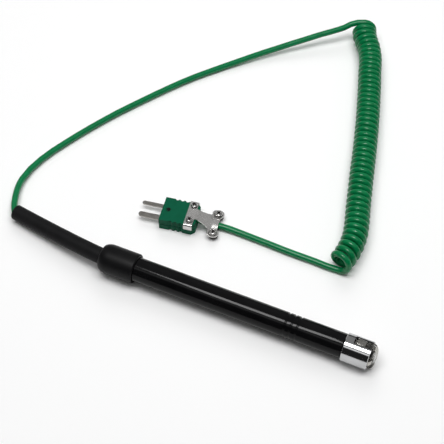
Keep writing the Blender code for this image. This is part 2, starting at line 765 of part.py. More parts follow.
def make_terminal_screw(name, side, place):
    top = TERMINAL_HEAD_HEIGHT
    profile = [(0.0, top), (TERMINAL_HEAD_RADIUS - GAP, top), (TERMINAL_HEAD_RADIUS, top - GAP),
               (TERMINAL_HEAD_RADIUS, 0.0), (TERMINAL_SHANK_RADIUS, 0.0),
               (TERMINAL_SHANK_RADIUS, -TERMINAL_SHANK_LENGTH), (0.0, -TERMINAL_SHANK_LENGTH)]
    screw = turned(name, profile, BRASS, place, closed=False, steps=SMALL_STEPS)
    height = (PLUG_HEIGHT + BLADE_THICKNESS) / 2.0 + SEAT
    screw.location = (TERMINAL_X, side * BLADE_SPACING / 2.0, height)
    return screw


def make_plug_lead(name, side, place):
    """Bare end of a lead from the cable's jacket to the terminal screw's head, lying on the blade."""
    height = (PLUG_HEIGHT + BLADE_THICKNESS) / 2.0 + SEAT + PLUG_LEAD_RADIUS
    inner = side * LEAD_SPACING / 2.0
    outer = side * BLADE_SPACING / 2.0
    head = TERMINAL_X + TERMINAL_HEAD_RADIUS + GAP
    start = PLUG_JACKET_END - GAP
    points = [(start, inner, PLUG_HEIGHT / 2.0), (start - 1.5 * MM, inner, height),
              (head + 1.5 * MM, outer, height), (head, outer, height)]
    return round_tube(name, points, PLUG_LEAD_RADIUS, STEEL, place)


def band_top():
    return PLUG_HEIGHT + SEAT + SHEET


def hump_top():
    return CABLE_HEIGHT_AT_CLAMP + CABLE_RADIUS + SEAT + SHEET


def ear_reach():
    return BAR_SCREW_SPACING / 2.0 + 2.0 * EAR_ACROSS


def bar_outline(inset):
    """Clamp bar seen from above: two rounded ears joined by a narrower waist."""
    along = EAR_ALONG - inset
    across = EAR_ACROSS - inset
    start = -math.degrees(math.acos(BAR_WAIST / 2.0 / along))
    half = BAR_SCREW_SPACING / 2.0
    far = arc(BAR_X, half, along, across, start, 180.0 - start, 14)
    near = arc(BAR_X, -half, along, across, 180.0 + start, 360.0 - start, 14)
    return far + near


def formed_section(half, ear, middle, sheet):
    """Section of a sheet across the cable, (y, z) of its top: ears at the sides, another height between."""
    top = [(-half, ear), (-BAR_HUMP_HALF - BAR_RAMP, ear), (-BAR_HUMP_HALF, middle), (BAR_HUMP_HALF, middle),
           (BAR_HUMP_HALF + BAR_RAMP, ear), (half, ear)]
    return top + [(y, z - sheet) for y, z in reversed(top)]


def ridge_section(half):
    return formed_section(half, BAR_EAR_HEIGHT + SHEET, hump_top(), SHEET)


def make_clamp_neck(place):
    """Sloping sheet: flat where it leaves the band, ridged like the bar where it meets it."""
    fold = PLUG_LENGTH + SEAT
    end = BAR_X - BAR_WAIST / 2.0 + SHEET
    half = NECK_BAR_WIDTH / 2.0
    section = ridge_section(half)
    ridged = outline_prism("clamp_neck", section, end - fold, None, place, CUTTERS)
    ridged.rotation_euler = (math.radians(90.0), 0.0, math.radians(90.0))
    ridged.location = ((fold + end) / 2.0, 0.0, 0.0)
    undersides = (BAR_EAR_HEIGHT, hump_top() - SHEET)
    for vertex in ridged.data.vertices:
        if vertex.co.z < 0.0:
            under = min(abs(vertex.co.y - height) for height in undersides) < SHEET / 2.0
            vertex.co.y = band_top() - SHEET if under else band_top()
            vertex.co.x *= NECK_WIDTH / NECK_BAR_WIDTH
    start = BAND_X + BAND_LENGTH - SHEET
    narrow = NECK_WIDTH / 2.0
    root = box("neck_root", (start, -narrow, band_top() - SHEET), (fold + SEAT, narrow, band_top()), None,
               place, CUTTERS)
    boolean(ridged, root, "UNION")
    return ridged


def make_clamp_plate(place):
    """Folded sheet: a band with two tabs over the plug, a sloping neck and a bar over the cable."""
    half = PLUG_WIDTH / 2.0 + SEAT
    low = PLUG_HEIGHT + SEAT
    top = band_top()
    tab = low - BAND_TAB
    fold = SHEET * 0.4
    outline = [(-half - SHEET, tab), (-half, tab), (-half, low), (half, low), (half, tab),
               (half + SHEET, tab), (half + SHEET, top - fold), (half + SHEET - fold, top),
               (-half - SHEET + fold, top), (-half - SHEET, top - fold)]
    plate = outline_prism("clamp_plate", outline, BAND_LENGTH, STEEL, place)
    plate.rotation_euler = (math.radians(90.0), 0.0, math.radians(90.0))
    plate.location = (BAND_X + BAND_LENGTH / 2.0, 0.0, 0.0)

    neck = make_clamp_neck(place)
    boolean(plate, neck, "UNION")

    bar = outline_prism("clamp_bar", ridge_section(ear_reach()), 3.0 * EAR_ALONG, None, place, CUTTERS)
    bar.rotation_euler = (math.radians(90.0), 0.0, math.radians(90.0))
    bar.location = (BAR_X, 0.0, 0.0)
    ends = outline_prism("clamp_bar_ends", bar_outline(0.0), 2.0 * PLUG_HEIGHT, None, place, CUTTERS)
    boolean(bar, ends, "INTERSECT")
    boolean(plate, bar, "UNION")
    for side in (-1.0, 1.0):
        ear_centre = (BAR_X, side * BAR_SCREW_SPACING / 2.0)
        cut(plate, pin("ear_hole", ear_centre, 0.0, PLUG_HEIGHT, SCREW_HOLE_RADIUS, place))
        band_centre = (COVER_SCREW_X, side * COVER_SCREW_SPACING / 2.0)
        hole_low = PLUG_HEIGHT - GAP
        cut(plate, pin("band_hole", band_centre, hole_low, top + GAP, SCREW_HOLE_RADIUS, place))
    return plate


def make_clamp_saddle(place):
    """Bar under the cable, dished between its raised ears, which the two clamp screws go into."""
    thick = SADDLE_THICKNESS
    section = formed_section(ear_reach(), SADDLE_EAR_HEIGHT + thick, thick, thick)
    saddle = outline_prism("clamp_saddle", section, 3.0 * EAR_ALONG, STEEL, place)
    saddle.rotation_euler = (math.radians(90.0), 0.0, math.radians(90.0))
    saddle.location = (BAR_X, 0.0, 0.0)
    ends = outline_prism("clamp_saddle_ends", bar_outline(SADDLE_INSET), 2.0 * PLUG_HEIGHT, None, place,
                         CUTTERS)
    boolean(saddle, ends, "INTERSECT")
    for side in (-1.0, 1.0):
        centre = (BAR_X, side * BAR_SCREW_SPACING / 2.0)
        cut(saddle, pin("saddle_hole", centre, -GAP, PLUG_HEIGHT, SCREW_HOLE_RADIUS, place))
    return saddle


def make_cross_screw(name, head, centre, seat, depth, place):
    """Pan-head screw with a cross recess, its head on the height seat and its shank going depth down."""
    radius, height = head
    crown = arc(0.0, height * 0.4, radius, height * 0.6, 90.0, 0.0, 5)
    crown[0] = (0.0, height)
    profile = crown + [(radius, 0.0), (SCREW_SHANK_RADIUS, 0.0), (SCREW_SHANK_RADIUS, -depth), (0.0, -depth)]
    screw = turned(name, profile, STEEL, place, closed=False, steps=SMALL_STEPS)
    screw.location = (centre[0], centre[1], seat)
    half_width = CROSS_SLOT_WIDTH / 2.0
    half_length = radius * CROSS_SLOT_SHARE
    low = height * (1.0 - CROSS_SLOT_DEPTH_SHARE)
    high = height + GAP
    for x, y in ((half_width, half_length), (half_length, half_width)):
        slot = box(name + "_slot", (-x, -y, low), (x, y, high), None, place, CUTTERS)
        slot.location = screw.location
        slot.rotation_euler = (0.0, 0.0, math.radians(30.0))
        cut(screw, slot)
    return screw


def make_probe(probe_axis, head):
    make_ferrule(head)
    make_core(head)
    leg = CORE_UPPER_FLAT + GAP + RIBBON_THICKNESS / 2.0
    line = ribbon_line(leg, RIBBON_LEG, RIBBON_SHOULDER, RIBBON_DOME - RIBBON_THICKNESS / 2.0)
    make_ribbon("sensing_ribbon", line, RIBBON_WIDTH, head, False)
    cross_leg = CORE_SIDE_FLAT + GAP + RIBBON_THICKNESS / 2.0
    cross = ribbon_line(cross_leg, CROSS_LEG, CROSS_SHOULDER, CROSS_DOME - RIBBON_THICKNESS / 2.0)
    make_ribbon("cross_ribbon", cross, CROSS_WIDTH, head, True)
    make_tab("ribbon_tab_upper", -1.0, head)
    make_tab("ribbon_tab_lower", 1.0, head)
    make_bush(probe_axis)
    make_handle(probe_axis)
    make_collar(probe_axis)
    make_boot(probe_axis)
    make_anchor(probe_axis)
    make_inner_cable(probe_axis)
    for sign, side in (("positive", 1.0), ("negative", -1.0)):
        make_lead("lead_" + sign, side, probe_axis)
        make_crimp("crimp_" + sign, side, probe_axis)
        make_head_lead("head_lead_" + sign, side, probe_axis)


def make_cord(probe_axis, place):
    bpy.context.view_layer.update()
    matrix = probe_axis.matrix_world
    inside = [matrix @ boot_point(JACKET_JOINT_SHARE), matrix @ boot_point((1.0 + JACKET_JOINT_SHARE) / 2.0)]
    mouth = matrix @ boot_point(1.0)
    beyond = mouth + (mouth - inside[1]).normalized() * BOOT_CLEAR
    table = smooth_route([beyond] + on_table(UPPER_ROUTE), CORD_STEP)
    upper = inside + [mouth] + table
    round_tube("cord_upper", upper, CABLE_RADIUS, CABLE_GREEN, None)
    coil = smooth_route(on_table(COIL_ROUTE, COIL_RADIUS), CORD_STEP)
    round_tube("cord_coil", coil, COIL_RADIUS, CABLE_GREEN, None, sides=6)
    clamp = [(BAR_X, CABLE_HEIGHT_AT_CLAMP), (BAR_X - EAR_ALONG, CABLE_HEIGHT_AT_CLAMP),
             (PLUG_LENGTH, PLUG_HEIGHT / 2.0), (PLUG_JACKET_END, PLUG_HEIGHT / 2.0)]
    end = [place.matrix_world @ Vector((x, 0.0, z)) for x, z in clamp]
    lower = smooth_route(on_table(LOWER_ROUTE), CORD_STEP * 0.8) + end
    round_tube("cord_lower", lower, CABLE_RADIUS, CABLE_GREEN, None)


def make_plug(place):
    make_plug_base(place)
    make_plug_cover(place)
    sides = (("positive", 1.0, BLADE_POSITIVE_WIDTH), ("negative", -1.0, BLADE_NEGATIVE_WIDTH))
    for sign, side, width in sides:
        make_blade("blade_" + sign, side, width, place)
        make_terminal_screw("terminal_screw_" + sign, side, place)
        make_plug_lead("plug_lead_" + sign, side, place)
    make_clamp_plate(place)
    make_clamp_saddle(place)
    for label, side in (("far", 1.0), ("near", -1.0)):
        centre = (COVER_SCREW_X, side * COVER_SCREW_SPACING / 2.0)
        depth = SHEET + SEAT + COVER_SCREW_DEPTH
        make_cross_screw("cover_screw_" + label, COVER_HEAD, centre, band_top() + SEAT, depth, place)
        centre = (BAR_X, side * BAR_SCREW_SPACING / 2.0)
        seat = BAR_EAR_HEIGHT + SHEET + SEAT
        make_cross_screw("clamp_screw_" + label, CLAMP_HEAD, centre, seat, seat - SEAT, place)


probe = make_probe_axis()
make_probe(probe, make_head_axis(probe))
plug = make_plug_place()
make_cord(probe, plug)
make_plug(plug)
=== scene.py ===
import math

import bmesh
import bpy
from mathutils import Matrix, Vector


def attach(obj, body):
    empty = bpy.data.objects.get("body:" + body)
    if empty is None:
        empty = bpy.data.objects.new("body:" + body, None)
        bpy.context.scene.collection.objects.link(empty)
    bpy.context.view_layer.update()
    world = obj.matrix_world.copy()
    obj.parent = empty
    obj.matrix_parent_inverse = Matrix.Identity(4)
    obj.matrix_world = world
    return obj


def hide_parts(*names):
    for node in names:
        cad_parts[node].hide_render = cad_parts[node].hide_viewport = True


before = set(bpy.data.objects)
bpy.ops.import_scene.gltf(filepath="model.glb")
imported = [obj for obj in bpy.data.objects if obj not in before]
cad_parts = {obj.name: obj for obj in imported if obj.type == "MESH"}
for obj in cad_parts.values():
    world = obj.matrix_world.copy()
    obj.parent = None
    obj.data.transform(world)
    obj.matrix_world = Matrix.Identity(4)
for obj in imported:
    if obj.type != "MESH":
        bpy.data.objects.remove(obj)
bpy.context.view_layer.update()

MM = 0.001

# Camera, fitted to the photograph over the table plane
EYE = Vector((156.06, -309.44, 530.63)) * MM
HEADING = Vector((-0.4007, 0.9162, 0.0))
DOWN = math.radians(53.61)
LENS = 97.3

# Where the probe lies, as in the part's own source
RIM_X = 103.2 * MM
AXIS_Y = -2.8 * MM
FERRULE_R = 7.5 * MM
COLLAR_R = 8.1 * MM
COLLAR_FRONT = 130.0 * MM
HEAD_ROLL = math.radians(-15.5)
TILT = math.atan2(COLLAR_R - FERRULE_R, COLLAR_FRONT)
PROBE = (Matrix.Translation((RIM_X, AXIS_Y, FERRULE_R * math.cos(TILT)))
         @ Matrix.Rotation(math.radians(90.0) + TILT, 4, "Y"))
HEAD = PROBE @ Matrix.Rotation(HEAD_ROLL, 4, "Z")

# Where the plug lies
PLUG = Matrix.Translation((-31.9 * MM, 39.15 * MM, 0.0)) @ Matrix.Rotation(math.radians(9.0), 4, "Z")

# Boot, in millimetres: it bends from BOOT_BEND behind the ferrule's front rim
BOOT_BEND = 151.0
BOOT_LENGTH = 57.5
BOOT_SIDE = 9.5
BOOT_DROP = 3.8
BOOT_BOW = 1.2
BOOT_RADIUS = 4.45
BOOT_TAPER = 0.2
BOOT_BORE = 2.3

# Cable
CABLE_R = 1.8 * MM
HELIX_R = 5.2 * MM
COIL_TURNS = 46.5
TURN_POINTS = 20

# Middle lines in millimetres: boot to coil, coil, coil to clamp
UPPER_ROUTE = (
    (-108.0, 9.3, 4.4), (-109.9, 12.9, 4.1), (-111.7, 17.4, 3.8), (-113.3, 22.2, 3.4), (-114.4, 27.8, 3.0),
    (-114.5, 34.6, 2.6), (-113.1, 42.6, 2.2), (-110.9, 50.0, 2.0), (-108.0, 57.4, 1.9), (-104.4, 65.0, 1.9),
    (-100.6, 72.9, 1.9), (-95.4, 82.8, 1.9), (-90.0, 92.6, 1.9), (-84.3, 102.0, 1.9), (-78.3, 111.4, 1.9),
    (-72.2, 120.8, 1.9), (-66.1, 129.8, 1.9), (-59.6, 138.7, 1.9), (-52.7, 147.0, 2.0), (-45.6, 155.0, 2.3),
    (-38.4, 162.7, 2.8), (-31.1, 170.3, 3.5), (-23.5, 177.4, 4.4), (-15.8, 184.3, 5.6), (-8.0, 190.8, 7.0),
    (-0.2, 197.5, 8.3), (5.7, 202.0, 9.3), (11.6, 207.0, 10.3), (16.4, 211.9, 11.8),
)
COIL_ROUTE = (
    (22.7, 213.8, 7.3), (25.6, 206.9, 7.3), (30.6, 199.7, 7.2), (34.8, 190.5, 7.1), (38.5, 178.9, 7.0),
    (42.3, 167.4, 7.0), (45.8, 156.1, 7.0), (49.2, 144.9, 7.0), (52.3, 133.8, 7.0), (55.3, 122.9, 7.0),
    (58.0, 112.2, 7.0), (60.7, 101.7, 7.0), (63.5, 91.4, 7.0), (66.2, 81.2, 7.0), (68.5, 73.4, 7.0),
    (70.4, 65.3, 7.0), (71.0, 58.8, 7.0), (70.8, 52.4, 7.0), (69.9, 47.4, 7.0), (69.2, 43.4, 7.0),
)
LOWER_ROUTE = (
    (62.9, 43.2, 1.85), (57.6, 43.5, 1.85), (53.0, 43.6, 1.85), (47.2, 43.6, 1.85), (41.4, 43.7, 1.85),
    (35.4, 43.9, 1.85), (29.5, 44.2, 1.85), (23.6, 44.4, 1.85), (17.7, 44.6, 1.85), (12.0, 44.7, 1.95),
    (6.6, 44.7, 2.2), (1.7, 44.4, 2.45),
)
# Through the clamp into the plug, from the plug's own origin
CLAMP_ROUTE = ((30.2, 0.0, 2.5), (27.2, 0.0, 2.5), (24.0, 0.0, 3.1), (20.1, 0.0, 4.0), (14.3, 0.0, 4.0))

# Strap: the band's level over the plug and its edges along the plug, in millimetres
STRAP_LEVEL = 8.4
BAND_FRONT = 14.0
BAND_REAR = 18.8

# Colour sockets of a Mix node
MIX_FIRST = 6
MIX_SECOND = 7
MIX_RESULT = 2


# Finishes

class Wire:
    """One output of a node, with arithmetic that adds Math nodes."""

    def __init__(self, finish, socket):
        self.finish = finish
        self.socket = socket

    def math(self, operation, first, second=0.0):
        made = self.finish.node("ShaderNodeMath", {"operation": operation}, {0: first, 1: second})
        return Wire(self.finish, made.outputs[0])

    def __add__(self, other):
        return self.math("ADD", self, other)

    def __mul__(self, other):
        return self.math("MULTIPLY", self, other)


class Finish:
    """A node material. Every node comes from one method."""

    def __init__(self, name, roughness=0.5, metallic=0.0, **sockets):
        self.material = bpy.data.materials.new(name)
        self.material.use_nodes = True
        self.tree = self.material.node_tree
        self.shader = self.tree.nodes["Principled BSDF"]
        self.fill(self.shader, {"Roughness": roughness, "Metallic": metallic})
        self.fill(self.shader, {key.replace("_", " "): value for key, value in sockets.items()})
        self.place = Wire(self, self.node("ShaderNodeTexCoord").outputs["Object"])

    def fill(self, made, sockets):
        for key, value in sockets.items():
            socket = made.inputs[key]
            if isinstance(value, Wire):
                self.tree.links.new(value.socket, socket)
            elif isinstance(value, (tuple, list)) and len(value) == 3 and len(socket.default_value) == 4:
                socket.default_value = (*value, 1.0)
            else:
                socket.default_value = value

    def node(self, kind, settings=None, sockets=None):
        made = self.tree.nodes.new(kind)
        for key, value in (settings or {}).items():
            setattr(made, key, value)
        self.fill(made, sockets or {})
        return made

    def stretched(self, place, scale):
        made = self.node("ShaderNodeVectorMath", {"operation": "MULTIPLY"}, {0: place, 1: scale})
        return Wire(self, made.outputs[0])

    def noise(self, scale, detail=3.0, rough=0.55, place=None):
        sockets = {"Vector": place or self.place, "Scale": scale, "Detail": detail, "Roughness": rough}
        return Wire(self, self.node("ShaderNodeTexNoise", None, sockets).outputs["Fac"])

    def attribute(self, name):
        return Wire(self, self.node("ShaderNodeAttribute", {"attribute_name": name}).outputs["Fac"])

    def between(self, value, low, high, start=0.0, end=1.0):
        sockets = {"Value": value, "From Min": low, "From Max": high, "To Min": start, "To Max": end}
        made = self.node("ShaderNodeMapRange", {"clamp": True}, sockets)
        return Wire(self, made.outputs["Result"])

    def mix(self, share, first, second):
        sockets = {"Factor": share, MIX_FIRST: first, MIX_SECOND: second}
        made = self.node("ShaderNodeMix", {"data_type": "RGBA"}, sockets)
        return Wire(self, made.outputs[MIX_RESULT])

    def bump(self, height, strength, distance):
        sockets = {"Height": height, "Strength": strength, "Distance": distance}
        made = self.node("ShaderNodeBump", None, sockets)
        self.fill(self.shader, {"Normal": Wire(self, made.outputs["Normal"])})

    def set(self, **sockets):
        self.fill(self.shader, {key.replace("_", " "): value for key, value in sockets.items()})
        return self.material


def gloss_black():
    f = Finish("gloss_black_tube", Specular_IOR_Level=0.16)
    smudge = f.noise(90.0, 4.0, 0.6)
    streak = f.noise(260.0, 3.0, 0.6, f.stretched(f.place, (0.08, 1.0, 1.0)))
    f.bump(f.noise(1500.0, 2.0) * 0.5 + streak * 0.5, 0.12, 0.00004)
    colour = f.mix(f.between(smudge, 0.35, 0.7), (0.0030, 0.0030, 0.0034), (0.0050, 0.0050, 0.0054))
    return f.set(Base_Color=colour, Roughness=f.between(smudge * 0.6 + streak * 0.4, 0.3, 0.7, 0.08, 0.13))


def satin_black():
    f = Finish("satin_black_cap", Specular_IOR_Level=0.13)
    grain = f.noise(2600.0, 3.0, 0.6)
    cloud = f.noise(120.0, 4.0, 0.6)
    f.bump(grain, 0.22, 0.00006)
    colour = f.mix(f.between(cloud, 0.3, 0.7), (0.0045, 0.0045, 0.0050), (0.0065, 0.0065, 0.0070))
    return f.set(Base_Color=colour, Roughness=f.between(grain * 0.5 + cloud * 0.5, 0.3, 0.7, 0.36, 0.48))


def boot_rubber():
    f = Finish("bend_boot_rubber", Specular_IOR_Level=0.15)
    grain = f.noise(1900.0, 4.0, 0.65)
    cloud = f.noise(150.0, 4.0, 0.6)
    f.bump(grain, 0.35, 0.00008)
    colour = f.mix(f.between(cloud, 0.3, 0.7), (0.0055, 0.0055, 0.0060), (0.0085, 0.0085, 0.0090))
    return f.set(Base_Color=colour, Roughness=f.between(cloud, 0.3, 0.7, 0.52, 0.66))


def mirror_chrome():
    f = Finish("mirror_chrome", metallic=1.0)
    smudge = f.noise(140.0, 4.0, 0.6)
    lathe = f.noise(700.0, 2.0, 0.5, f.stretched(f.place, (1.0, 0.05, 0.05)))
    f.bump(lathe, 0.04, 0.00002)
    colour = f.mix(f.between(smudge, 0.3, 0.7), (0.48, 0.485, 0.49), (0.54, 0.545, 0.55))
    return f.set(Base_Color=colour, Roughness=f.between(smudge * 0.6 + lathe * 0.4, 0.3, 0.7, 0.07, 0.12))


def rolled_strip():
    f = Finish("rolled_ribbon_strip", metallic=1.0)
    rolled = f.noise(900.0, 3.0, 0.6, f.stretched(f.place, (0.15, 1.0, 1.0)))
    stain = f.noise(260.0, 4.0, 0.6)
    f.bump(rolled, 0.15, 0.00003)
    colour = f.mix(f.between(stain, 0.35, 0.7), (0.52, 0.51, 0.48), (0.36, 0.35, 0.32))
    return f.set(Base_Color=colour, Roughness=f.between(rolled, 0.3, 0.7, 0.14, 0.26))


def nickel_sheet():
    f = Finish("nickel_plated_sheet", metallic=0.82)
    brushed = f.noise(1300.0, 3.0, 0.6, f.stretched(f.place, (0.2, 1.0, 1.0)))
    mottle = f.noise(380.0, 4.0, 0.6)
    f.bump(brushed * 0.5 + mottle * 0.5, 0.2, 0.00004)
    colour = f.mix(f.between(mottle, 0.3, 0.7), (0.60, 0.59, 0.575), (0.70, 0.69, 0.675))
    return f.set(Base_Color=colour, Roughness=f.between(mottle * 0.5 + brushed * 0.5, 0.3, 0.7, 0.16, 0.28))


def screw_nickel():
    f = Finish("nickel_screws", metallic=1.0)
    mottle = f.noise(700.0, 4.0, 0.6)
    f.bump(mottle, 0.2, 0.00003)
    plated = f.mix(f.between(mottle, 0.3, 0.7), (0.62, 0.61, 0.595), (0.76, 0.75, 0.735))
    # Painted shade: the vertex value made with the screw heads turns the plating near-black in the cross
    # recess and low on the head
    colour = f.mix(f.between(f.attribute("painted_shade"), 0.15, 0.85), plated, (0.030, 0.027, 0.025))
    return f.set(Base_Color=colour, Roughness=f.between(mottle, 0.3, 0.7, 0.16, 0.28))


# Painted shade: the clamp saddle under the ears is coloured near-black for the shade it sits in
def shadowed_steel():
    f = Finish("steel_in_painted_shade", metallic=1.0)
    grain = f.noise(900.0, 4.0, 0.6)
    f.bump(grain, 0.3, 0.00004)
    colour = f.mix(f.between(grain, 0.3, 0.7), (0.05, 0.048, 0.045), (0.10, 0.096, 0.09))
    return f.set(Base_Color=colour, Roughness=f.between(grain, 0.3, 0.7, 0.35, 0.5))


def blade_alloy():
    f = Finish("blade_alloy", metallic=1.0)
    drawn = f.noise(800.0, 4.0, 0.65, f.stretched(f.place, (0.12, 1.0, 1.0)))
    stain = f.noise(420.0, 4.0, 0.6)
    f.bump(drawn, 0.35, 0.00005)
    colour = f.mix(f.between(stain, 0.3, 0.7), (0.34, 0.32, 0.30), (0.50, 0.48, 0.45))
    return f.set(Base_Color=colour, Roughness=f.between(drawn, 0.3, 0.7, 0.26, 0.42))


def brass_finish():
    f = Finish("turned_brass", metallic=1.0)
    turned_lines = f.noise(900.0, 3.0, 0.6, f.stretched(f.place, (1.0, 0.1, 0.1)))
    f.bump(turned_lines, 0.15, 0.00003)
    colour = f.mix(f.between(turned_lines, 0.3, 0.7), (0.66, 0.50, 0.22), (0.76, 0.60, 0.30))
    return f.set(Base_Color=colour, Roughness=f.between(turned_lines, 0.3, 0.7, 0.22, 0.36))


def core_plastic():
    f = Finish("insulating_core", Specular_IOR_Level=0.4)
    grain = f.noise(1800.0, 4.0, 0.6)
    f.bump(grain, 0.3, 0.00006)
    colour = f.mix(f.between(grain, 0.3, 0.7), (0.012, 0.011, 0.011), (0.022, 0.020, 0.019))
    return f.set(Base_Color=colour, Roughness=f.between(grain, 0.3, 0.7, 0.45, 0.6))


def lead_sleeve():
    f = Finish("lead_sleeve")
    grain = f.noise(1500.0, 4.0, 0.6)
    f.bump(grain, 0.3, 0.00005)
    colour = f.mix(f.between(grain, 0.3, 0.7), (0.70, 0.69, 0.65), (0.80, 0.79, 0.75))
    return f.set(Base_Color=colour, Roughness=f.between(grain, 0.3, 0.7, 0.45, 0.6))


def cable_jacket():
    f = Finish("green_cable_jacket", Specular_IOR_Level=0.36)
    cloud = f.noise(240.0, 4.0, 0.6)
    grain = f.noise(1600.0, 3.0, 0.6)
    f.bump(grain * 0.6 + cloud * 0.4, 0.16, 0.00006)
    colour = f.mix(f.between(cloud, 0.3, 0.7), (0.0009, 0.150, 0.046), (0.0014, 0.192, 0.063))
    return f.set(Base_Color=colour, Roughness=f.between(cloud, 0.3, 0.7, 0.16, 0.24))


def plug_plastic():
    f = Finish("green_plug_moulding", Specular_IOR_Level=0.08)
    grain = f.noise(2400.0, 4.0, 0.65)
    cloud = f.noise(180.0, 4.0, 0.6)
    f.bump(grain, 0.25, 0.00006)
    colour = f.mix(f.between(cloud, 0.3, 0.7), (0.0015, 0.084, 0.040), (0.0022, 0.100, 0.050))
    return f.set(Base_Color=colour, Roughness=f.between(grain * 0.5 + cloud * 0.5, 0.3, 0.7, 0.38, 0.52))


# Shapes

def on_object(name, work, place, finish, angle=35.0):
    """Put a worked shape in the scene, with its place in its mesh."""
    mesh = bpy.data.meshes.new(name)
    bmesh.ops.transform(work, matrix=place, verts=work.verts)
    work.to_mesh(mesh)
    work.free()
    mesh.shade_smooth()
    mesh.set_sharp_from_angle(angle=math.radians(angle))
    thing = bpy.data.objects.new(name, mesh)
    bpy.context.scene.collection.objects.link(thing)
    mesh.materials.append(finish)
    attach(thing, "root")
    return thing


def arc(centre_r, centre_z, radius_r, radius_z, start, end, count):
    """Points on an ellipse's arc, its angles in degrees."""
    points = []
    for step in range(count + 1):
        angle = math.radians(start + (end - start) * step / count)
        points.append((centre_r + radius_r * math.cos(angle), centre_z + radius_z * math.sin(angle)))
    return points


def spin_profile(profile, closed=True, steps=144):
    """Turn an (r, z) profile in metres about Z."""
    work = bmesh.new()
    verts = [work.verts.new((r, 0.0, z)) for r, z in profile]
    edges = [work.edges.new(pair) for pair in zip(verts, verts[1:])]
    if closed:
        edges.append(work.edges.new((verts[-1], verts[0])))
    bmesh.ops.spin(work, geom=verts + edges, cent=(0, 0, 0), axis=(0, 0, 1), angle=math.tau, steps=steps,
                   use_merge=True)
    bmesh.ops.remove_doubles(work, verts=work.verts, dist=0.000001)
    bmesh.ops.recalc_face_normals(work, faces=work.faces)
    return work


def loft(rings, closed):
    """Bridge rings of edges one to the next."""
    work = bmesh.new()
    loops = []
    for matrix, radius, sides in rings:
        before = set(work.edges)
        bmesh.ops.create_circle(work, segments=sides, radius=radius, matrix=matrix)
        loops.append([edge for edge in work.edges if edge not in before])
    pairs = list(zip(loops, loops[1:]))
    if closed:
        pairs.append((loops[-1], loops[0]))
    for first, second in pairs:
        bmesh.ops.bridge_loops(work, edges=first + second)
    bmesh.ops.recalc_face_normals(work, faces=work.faces)
    return work


def eased(low, high, value):
    """0 at low and 1 at high, with a soft start and end."""
    share = min(1.0, max(0.0, (value - low) / (high - low)))
    return share * share * (3.0 - 2.0 * share)


def smooth_route(points, step):
    """Points about one step apart on a smooth curve through the given points."""
    knots = [Vector(p) for p in points]
    knots = [2.0 * knots[0] - knots[1]] + knots + [2.0 * knots[-1] - knots[-2]]
    fine = []
    for i in range(1, len(knots) - 2):
        a, b, c, d = knots[i - 1:i + 3]
        for k in range(24):
            t = k / 24
            fine.append(0.5 * (2.0 * b + (c - a) * t + (2.0 * a - 5.0 * b + 4.0 * c - d) * t * t
                               + (3.0 * b - 3.0 * c + d - a) * t ** 3))
    fine.append(knots[-2])
    lengths = [0.0]
    for first, second in zip(fine, fine[1:]):
        lengths.append(lengths[-1] + (second - first).length)
    pieces = max(1, round(lengths[-1] / step))
    route = []
    index = 0
    for k in range(pieces + 1):
        wanted = lengths[-1] * k / pieces
        while index < len(fine) - 2 and lengths[index + 1] < wanted:
            index += 1
        span = lengths[index + 1] - lengths[index]
        route.append(fine[index].lerp(fine[index + 1], (wanted - lengths[index]) / span))
    return route


def boot_point(share):
    """Boot's middle line beyond the collar on the probe's own axis, in metres."""
    bow = share ** BOOT_BOW
    return Vector((BOOT_DROP * bow, BOOT_SIDE * bow, -BOOT_BEND - BOOT_LENGTH * share)) * MM


# Probe

def make_ferrule(chrome):
    """Chromed sleeve with two windows open to its front rim: a turned wall, its window faces taken out,
    then given its thickness."""
    edge = 0.25 * MM
    outer = FERRULE_R
    window_end = -9.6 * MM
    rear = -14.0 * MM
    line = [(outer - edge, 0.0), (outer, -edge), (outer, window_end), (outer, rear + edge),
            (outer - edge, rear)]
    work = spin_profile(line, closed=False, steps=96)
    window_half_angle = math.radians(22.6)
    gone = []
    for face in work.faces:
        middle = face.calc_center_median()
        away = abs(math.atan2(middle.y, abs(middle.x)))
        if away < window_half_angle and middle.z > window_end:
            gone.append(face)
    bmesh.ops.delete(work, geom=gone, context="FACES")
    sleeve = on_object("ferrule_sleeve", work, HEAD, chrome, 30.0)
    wall = sleeve.modifiers.new("wall", "SOLIDIFY")
    wall.thickness = 1.1 * MM
    wall.offset = -1.0
    rim = sleeve.modifiers.new("rim", "BEVEL")
    rim.width = 0.14 * MM
    rim.segments = 2
    rim.limit_method = "ANGLE"
    rim.angle_limit = math.radians(50.0)
    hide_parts("tip_ferrule")
    return sleeve


def strip_line(points, thickness):
    """Outline of a thin strip along (r, z) points."""
    outer = []
    inner = []
    for index, point in enumerate(points):
        before = points[max(index - 1, 0)]
        after = points[min(index + 1, len(points) - 1)]
        along = (after - before).normalized()
        side = Vector((along.y, -along.x)) * thickness / 2.0
        outer.append(point + side)
        inner.append(point - side)
    return outer, inner


def ribbon_strip(half_line, width, thickness, turn, shift=0.0):
    """Bowed strip, mirrored over the head's axis, moved across its width and turned about the axis."""
    line = smooth_route([(r, z, 0.0) for r, z in half_line], 0.25)
    points = [Vector((p.x, p.y)) for p in line]
    points += [Vector((-p.x, p.y)) for p in reversed(points[:-1])]
    outer, inner = strip_line(points, thickness)
    work = bmesh.new()
    rows = []
    for first, second in zip(outer, inner):
        row = []
        for point, side in ((first, -1.0), (first, 1.0), (second, 1.0), (second, -1.0)):
            across = shift + side * width / 2.0
            row.append(work.verts.new((point.x * MM, across * MM, point.y * MM)))
        rows.append(row)
    for row, following in zip(rows, rows[1:]):
        for k in range(4):
            n = (k + 1) % 4
            work.faces.new((row[k], row[n], following[n], following[k]))
    work.faces.new(rows[0][::-1])
    work.faces.new(rows[-1])
    bmesh.ops.recalc_face_normals(work, faces=work.faces)
    bmesh.ops.transform(work, matrix=Matrix.Rotation(math.radians(turn), 4, "Z"), verts=work.verts)
    return work


